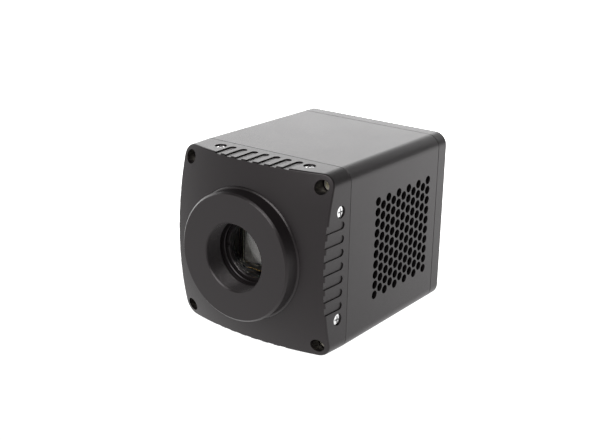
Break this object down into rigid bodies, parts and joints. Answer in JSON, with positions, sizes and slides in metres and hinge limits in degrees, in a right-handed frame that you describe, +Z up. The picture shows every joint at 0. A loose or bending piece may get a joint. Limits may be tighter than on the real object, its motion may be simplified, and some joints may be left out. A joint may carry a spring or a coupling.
{
  "type": "cooled astronomy camera",
  "caption": "Square black cooled camera with a thick threaded mount ring, a domed front plate, vented sides, a sealed sensor chamber, a heat sink with a fan, and a rear connector panel.",
  "frame": {"origin": "centre of the mount ring's front face, on the optical axis", "axes": "-Y along the optical axis out of the lens mount, +Y to the rear cover, +Z up, away from the tripod bush, +X to the side whose vents face the heat sink's fins"},
  "size_m": [0.076, 0.0985, 0.076],
  "materials": {
    "shell_black": "black anodised aluminium, fine satin bead-blasted surface",
    "ring_black": "black anodised aluminium, turned, satin, with thin bright edges",
    "inner_black": "matt black anodised aluminium",
    "sink_black": "black anodised extruded aluminium",
    "plain_aluminium": "machined aluminium, bare",
    "screw_black": "blackened steel socket cap screws",
    "screw_steel": "stainless steel screws",
    "bright_steel": "ground bright steel",
    "brass": "nickel-free turned brass",
    "gilt": "gold-plated frame round the sensor",
    "gold_pins": "gold-plated contact pins",
    "copper": "nickel-plated cold finger, aluminium",
    "glass": "clear coated optical window",
    "cover_glass": "thin cover glass of the sensor",
    "seal_rubber": "black rubber seal",
    "ceramic_dark": "dark ceramic chip package",
    "ceramic_white": "white ceramic cooler plates",
    "silicon": "glossy image sensor silicon",
    "board_green": "printed circuit board with green lacquer",
    "chip_black": "moulded black chip packages",
    "spacer_white": "white insulating plastic",
    "plastic_black": "black moulded plastic",
    "rocker_black": "black moulded rocker",
    "plastic_blue": "blue socket tongue",
    "plug_white": "cream connector housings",
    "fan_black": "black glass-filled fan plastic",
    "magnet_grey": "bonded ferrite ring",
    "winding": "lacquered copper windings on steel poles",
    "ribbon_white": "flat flexible cable",
    "lead_red": "insulated leads",
    "lamp_green": "moulded light pipe"
  },
  "bodies": {
    "camera": {"front_plate": "shell_black", "mount_ring": "ring_black", "mount_ring_screws": "screw_steel", "front_screws": "screw_black", "side_screws": "screw_steel", "housing": "shell_black", "tripod_bush": "bright_steel", "rear_cover": "shell_black", "rear_screws": "screw_black", "window_retainer": "inner_black", "window_glass": "glass", "window_seal": "seal_rubber", "chamber_body": "inner_black", "chamber_seal": "seal_rubber", "sensor_package": "ceramic_dark", "sensor_die": "silicon", "sensor_frame": "gilt", "sensor_lid": "cover_glass", "sensor_socket": "plastic_black", "sensor_board": "board_green", "cold_finger": "copper", "thermoelectric_cooler": "ceramic_white", "chamber_spacer": "spacer_white", "spacer_gaskets": "seal_rubber", "chamber_screws": "screw_steel", "heat_sink": "sink_black", "fan_frame": "fan_black", "fan_bearing": "brass", "fan_stator": "winding", "fan_screws": "screw_steel", "main_board": "board_green", "main_board_chips": "chip_black", "board_standoffs": "brass", "board_screws": "screw_steel", "ribbon_cable": "ribbon_white", "ribbon_sockets": "plug_white", "lead_plugs": "plug_white", "cooler_lead": "lead_red", "fan_lead": "lead_red", "usb_socket": "bright_steel", "usb_tongue": "plastic_blue", "dc_jack": "plastic_black", "dc_pin": "bright_steel", "trigger_socket": "bright_steel", "trigger_pins": "gold_pins", "status_led": "lamp_green", "switch_frame": "plastic_black"},
    "fan_wheel": {"fan_rotor": "fan_black", "fan_magnet": "magnet_grey", "fan_shaft": "bright_steel"},
    "rocker": {"power_rocker": "rocker_black"}
  },
  "joints": [
    {"name": "fan_spin", "type": "hinge", "parent": "camera", "child": "fan_wheel", "pos_m": [-0.0284, 0.0645, 0], "axis": [1, 0, 0], "continuous": true},
    {"name": "rocker_tilt", "type": "hinge", "parent": "camera", "child": "rocker", "pos_m": [0.016, 0.0946, 0.007], "axis": [0, 0, 1], "range_deg": [-20, 0]}
  ]
}
